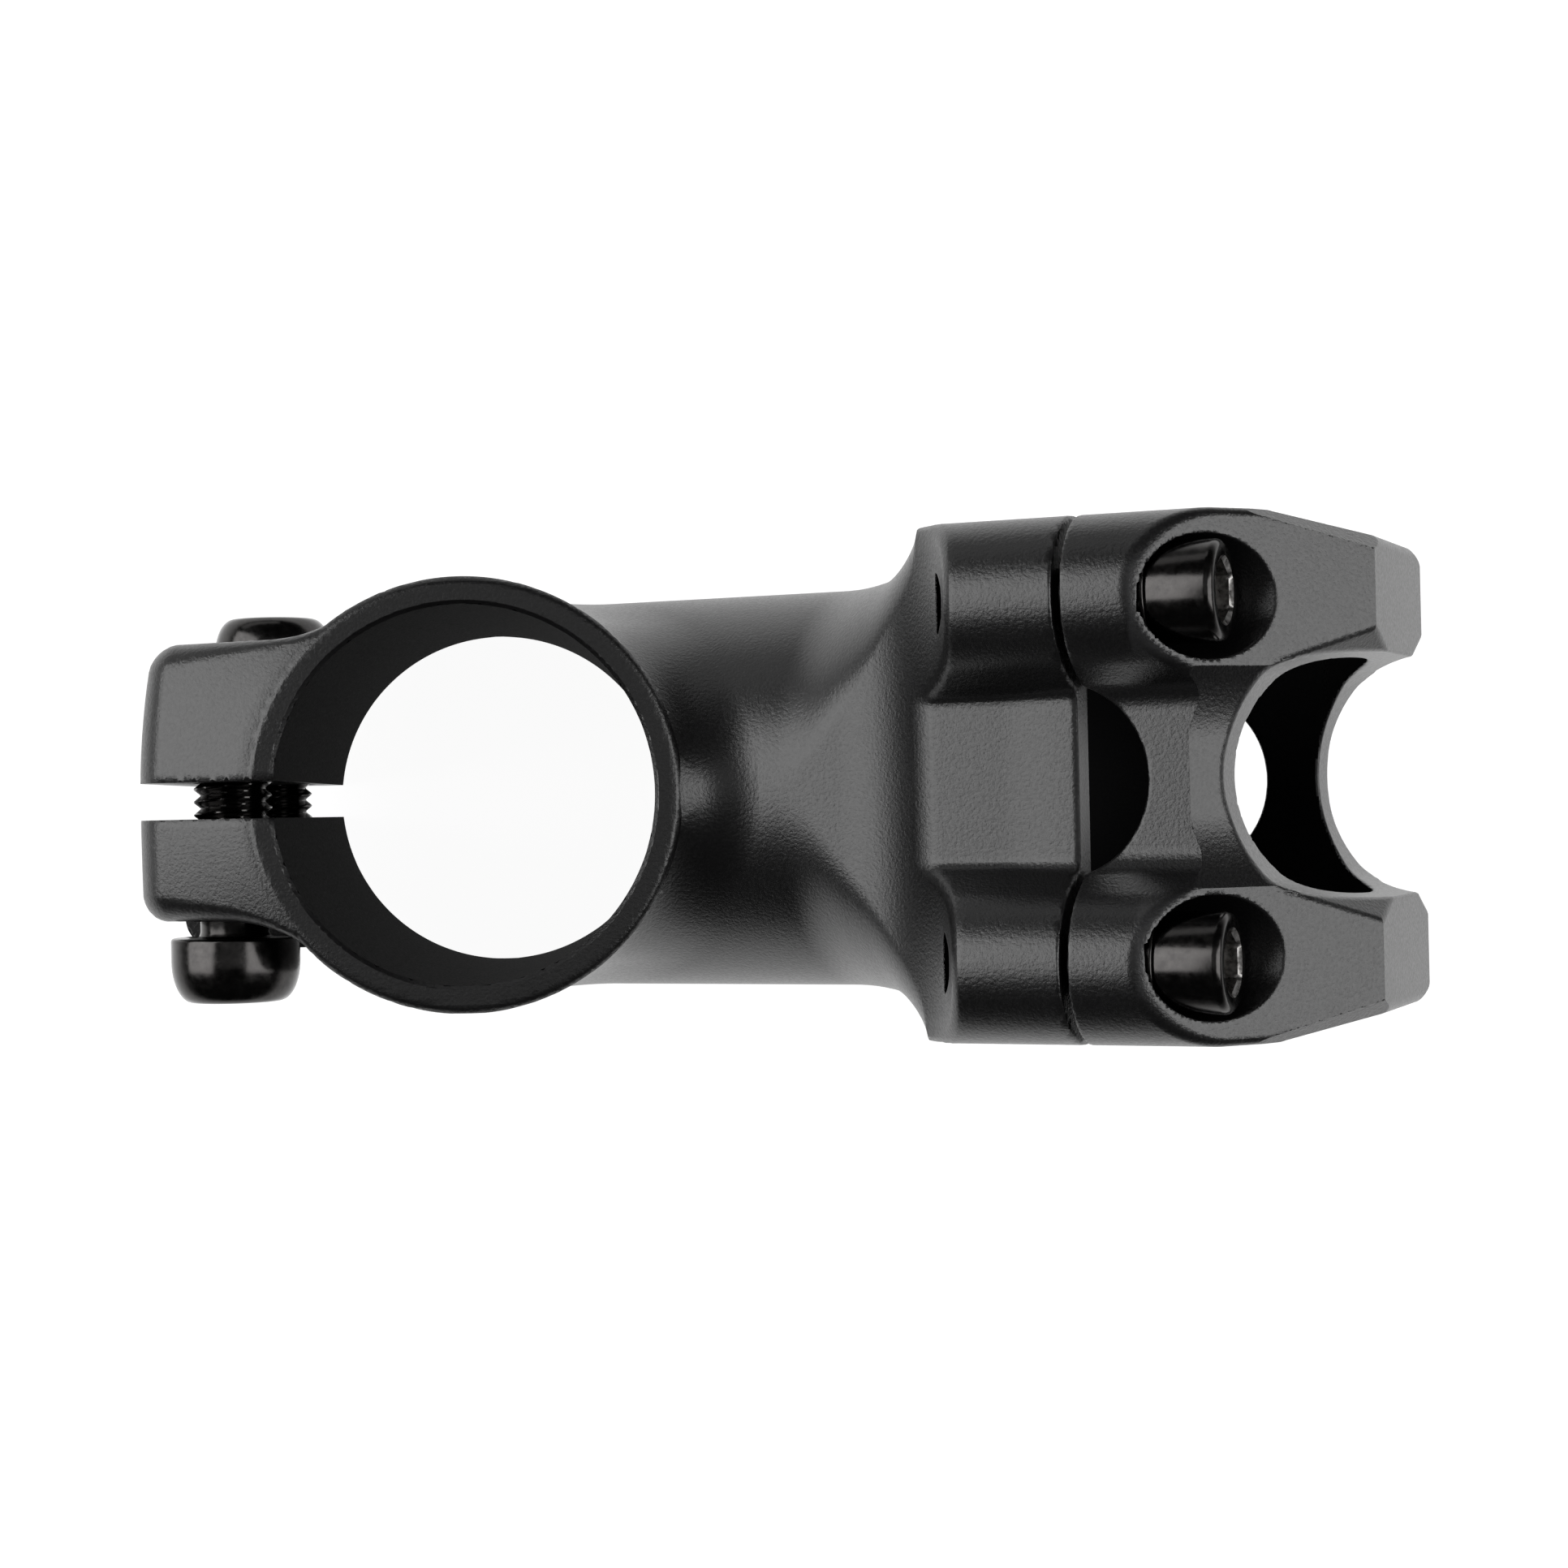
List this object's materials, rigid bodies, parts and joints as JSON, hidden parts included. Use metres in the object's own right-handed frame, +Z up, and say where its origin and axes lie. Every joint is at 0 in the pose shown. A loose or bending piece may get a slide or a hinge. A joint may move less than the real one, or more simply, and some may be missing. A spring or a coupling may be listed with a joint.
{
  "type": "handlebar stem",
  "caption": "Threadless handlebar stem with a raised extension, a split pinch clamp for the steerer tube and a bolt-on faceplate with a window that clamps the bar.",
  "frame": {"origin": "centre of the steerer bore at mid height of the steerer ring", "axes": "+Z up along the steerer, +X forward towards the handlebar, +Y along the handlebar to the rider's left"},
  "size_m": [0.0984, 0.0374, 0.0626],
  "materials": {
    "blasted_black": "matte black blasted anodising",
    "bolt_black": "satin black oxide"
  },
  "bodies": {
    "stem": {"stem_body": "blasted_black"},
    "faceplate": {"faceplate": "blasted_black"},
    "washer_upper_left": {"faceplate_washer_upper_left": "bolt_black"},
    "bolt_upper_left": {"faceplate_bolt_upper_left": "bolt_black"},
    "washer_upper_right": {"faceplate_washer_upper_right": "bolt_black"},
    "bolt_upper_right": {"faceplate_bolt_upper_right": "bolt_black"},
    "washer_lower_left": {"faceplate_washer_lower_left": "bolt_black"},
    "bolt_lower_left": {"faceplate_bolt_lower_left": "bolt_black"},
    "washer_lower_right": {"faceplate_washer_lower_right": "bolt_black"},
    "bolt_lower_right": {"faceplate_bolt_lower_right": "bolt_black"},
    "pinch_bolt_upper": {"steerer_bolt_upper": "bolt_black"},
    "pinch_bolt_lower": {"steerer_bolt_lower": "bolt_black"}
  },
  "joints": [
    {"name": "faceplate_lift", "type": "slide", "parent": "stem", "child": "faceplate", "axis": [0.9063, 0, 0.4226], "range_m": [0, 0.025]},
    {"name": "bolt_travel_upper_left", "type": "slide", "parent": "faceplate", "child": "washer_upper_left", "axis": [0.9063, 0, 0.4226], "range_m": [0, 0.0087]},
    {"name": "bolt_turn_upper_left", "type": "hinge", "parent": "washer_upper_left", "child": "bolt_upper_left", "pos_m": [0.04908, 0.0128, 0.03664], "axis": [0.9063, 0, 0.4226], "range_deg": [0, 3916]},
    {"name": "bolt_travel_upper_right", "type": "slide", "parent": "faceplate", "child": "washer_upper_right", "axis": [0.9063, 0, 0.4226], "range_m": [0, 0.0087]},
    {"name": "bolt_turn_upper_right", "type": "hinge", "parent": "washer_upper_right", "child": "bolt_upper_right", "pos_m": [0.04908, -0.0128, 0.03664], "axis": [0.9063, 0, 0.4226], "range_deg": [0, 3916]},
    {"name": "bolt_travel_lower_left", "type": "slide", "parent": "faceplate", "child": "washer_lower_left", "axis": [0.9063, 0, 0.4226], "range_m": [0, 0.0087]},
    {"name": "bolt_turn_lower_left", "type": "hinge", "parent": "washer_lower_left", "child": "bolt_lower_left", "pos_m": [0.06548, 0.0128, 0.00148], "axis": [0.9063, 0, 0.4226], "range_deg": [0, 3916]},
    {"name": "bolt_travel_lower_right", "type": "slide", "parent": "faceplate", "child": "washer_lower_right", "axis": [0.9063, 0, 0.4226], "range_m": [0, 0.0087]},
    {"name": "bolt_turn_lower_right", "type": "hinge", "parent": "washer_lower_right", "child": "bolt_lower_right", "pos_m": [0.06548, -0.0128, 0.00148], "axis": [0.9063, 0, 0.4226], "range_deg": [0, 3916]},
    {"name": "pinch_bolt_travel_upper", "type": "slide", "parent": "stem", "child": "pinch_bolt_upper", "axis": [0, -1, 0], "range_m": [-0.0014, 0.008]},
    {"name": "pinch_bolt_travel_lower", "type": "slide", "parent": "stem", "child": "pinch_bolt_lower", "axis": [0, 1, 0], "range_m": [-0.0014, 0.008]}
  ],
  "couplings": [
    {"joint": "bolt_turn_upper_left", "follows": "bolt_travel_upper_left", "rad_per_m": 7854},
    {"joint": "bolt_turn_upper_right", "follows": "bolt_travel_upper_right", "rad_per_m": 7854},
    {"joint": "bolt_turn_lower_left", "follows": "bolt_travel_lower_left", "rad_per_m": 7854},
    {"joint": "bolt_turn_lower_right", "follows": "bolt_travel_lower_right", "rad_per_m": 7854}
  ]
}
